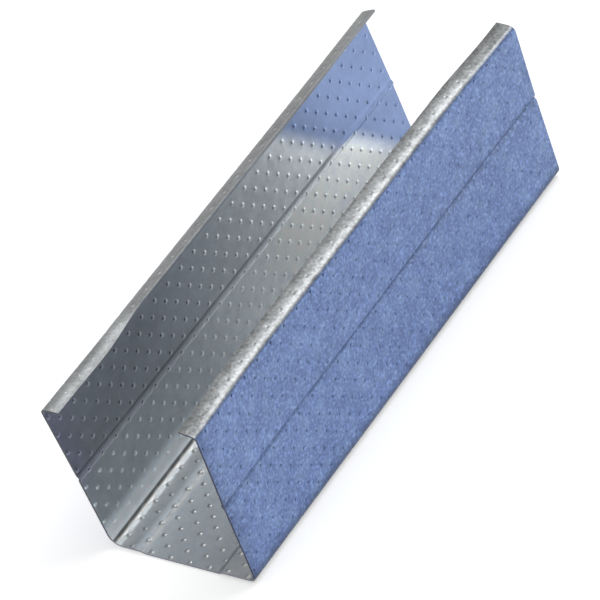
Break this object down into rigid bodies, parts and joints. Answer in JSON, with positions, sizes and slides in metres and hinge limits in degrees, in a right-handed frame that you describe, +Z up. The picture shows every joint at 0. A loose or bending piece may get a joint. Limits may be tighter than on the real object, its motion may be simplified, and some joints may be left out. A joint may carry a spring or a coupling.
{
  "type": "drywall metal stud",
  "caption": "Short length of roll-formed galvanised steel C-section stud: stepped web, two grooved flanges of slightly unequal height and inward lips, for plasterboard partitions.",
  "frame": {"origin": "middle of the web's underside, halfway along the stud", "axes": "+X across the web towards the taller flange, +Y along the stud towards the far end, +Z up from the web to the open side"},
  "size_m": [0.0497, 0.152, 0.0537],
  "materials": {
    "zinc_steel": "zinc-coated, dimpled, with a soft sheen"
  },
  "bodies": {
    "root": {"stud": "zinc_steel"}
  },
  "joints": []
}
